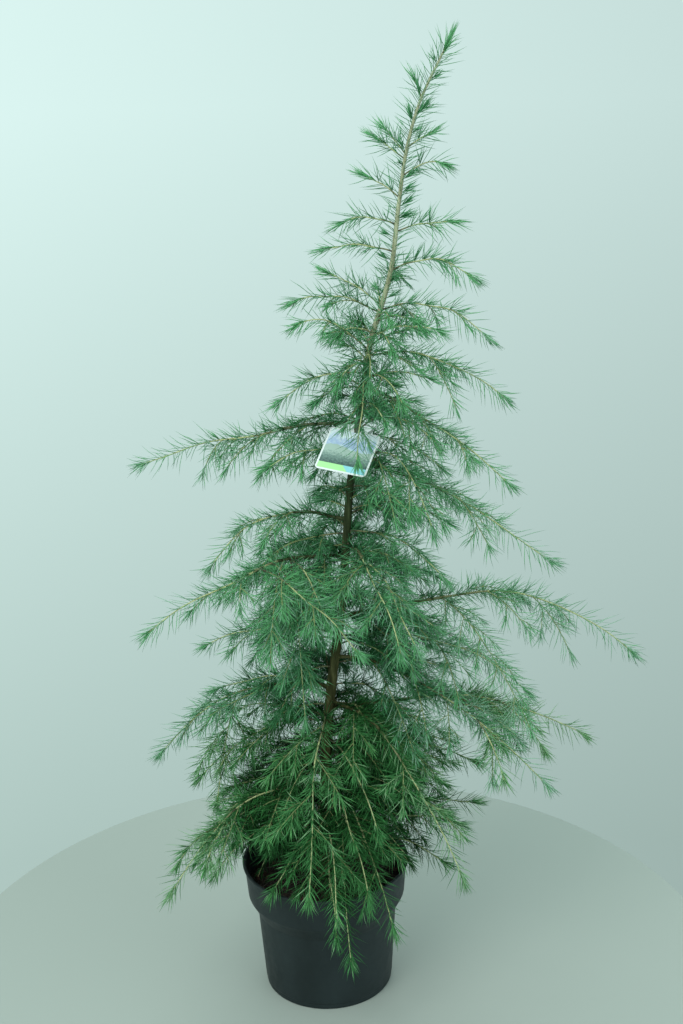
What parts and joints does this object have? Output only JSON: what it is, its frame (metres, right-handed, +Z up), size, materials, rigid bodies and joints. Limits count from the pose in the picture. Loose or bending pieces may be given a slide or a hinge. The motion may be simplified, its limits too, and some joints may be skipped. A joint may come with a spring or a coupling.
{
  "type": "potted deodar cedar tree",
  "caption": "Young deodar cedar standing in a round nursery pot, with a leaning leader, nodding boughs and hanging sprays of needles",
  "frame": {"origin": "centre of the pot's flat underside, on the ground", "axes": "+Z up along the trunk; +X towards the longest bough; -Y towards the front of the crown, where the label hangs"},
  "size_m": [0.7655, 0.4594, 1.4233],
  "materials": {
    "pot_plastic": "matte",
    "potting_soil": "matte",
    "cedar_bark": "matte",
    "young_bark": "matte",
    "cedar_needles": "satin",
    "label_card": "satin"
  },
  "bodies": {
    "root": {"bough_back_low": "young_bark", "bough_back_mid": "young_bark", "bough_front_left": "young_bark", "bough_front_right_low": "young_bark", "bough_left_long": "young_bark", "bough_left_low": "young_bark", "bough_left_mid": "young_bark", "bough_right_longest": "young_bark", "bough_right_low": "young_bark", "bough_right_lower": "young_bark", "bough_right_mid": "young_bark", "bough_right_upper": "young_bark", "foliage_back_high": "cedar_needles", "foliage_back_left_foot": "cedar_needles", "foliage_back_left_low": "cedar_needles", "foliage_back_left_mid": "cedar_needles", "foliage_back_low": "cedar_needles", "foliage_back_mid": "cedar_needles", "foliage_back_right_foot": "cedar_needles", "foliage_back_right_mid": "cedar_needles", "foliage_front_drooping": "cedar_needles", "foliage_front_foot": "cedar_needles", "foliage_front_left": "cedar_needles", "foliage_front_long": "cedar_needles", "foliage_front_low": "cedar_needles", "foliage_front_right_foot": "cedar_needles", "foliage_front_right_low": "cedar_needles", "foliage_high_back": "cedar_needles", "foliage_high_front_left": "cedar_needles", "foliage_high_front_right": "cedar_needles", "foliage_high_left": "cedar_needles", "foliage_high_right": "cedar_needles", "foliage_leader_left": "cedar_needles", "foliage_leader_right": "cedar_needles", "foliage_leader_tip": "cedar_needles", "foliage_leader_tuft": "cedar_needles", "foliage_left_foot": "cedar_needles", "foliage_left_high": "cedar_needles", "foliage_left_long": "cedar_needles", "foliage_left_low": "cedar_needles", "foliage_left_mid": "cedar_needles", "foliage_left_short": "cedar_needles", "foliage_right_high": "cedar_needles", "foliage_right_inner": "cedar_needles", "foliage_right_longest": "cedar_needles", "foliage_right_low": "cedar_needles", "foliage_right_lower": "cedar_needles", "foliage_right_mid": "cedar_needles", "foliage_right_upper": "cedar_needles", "foliage_top_left": "cedar_needles", "foliage_top_right": "cedar_needles", "foliage_upper_back": "cedar_needles", "foliage_upper_front": "cedar_needles", "foliage_upper_front_left": "cedar_needles", "foliage_upper_left": "cedar_needles", "foliage_upper_right": "cedar_needles", "label": "label_card", "pot": "pot_plastic", "soil": "potting_soil", "trunk": "cedar_bark"}
  },
  "joints": []
}
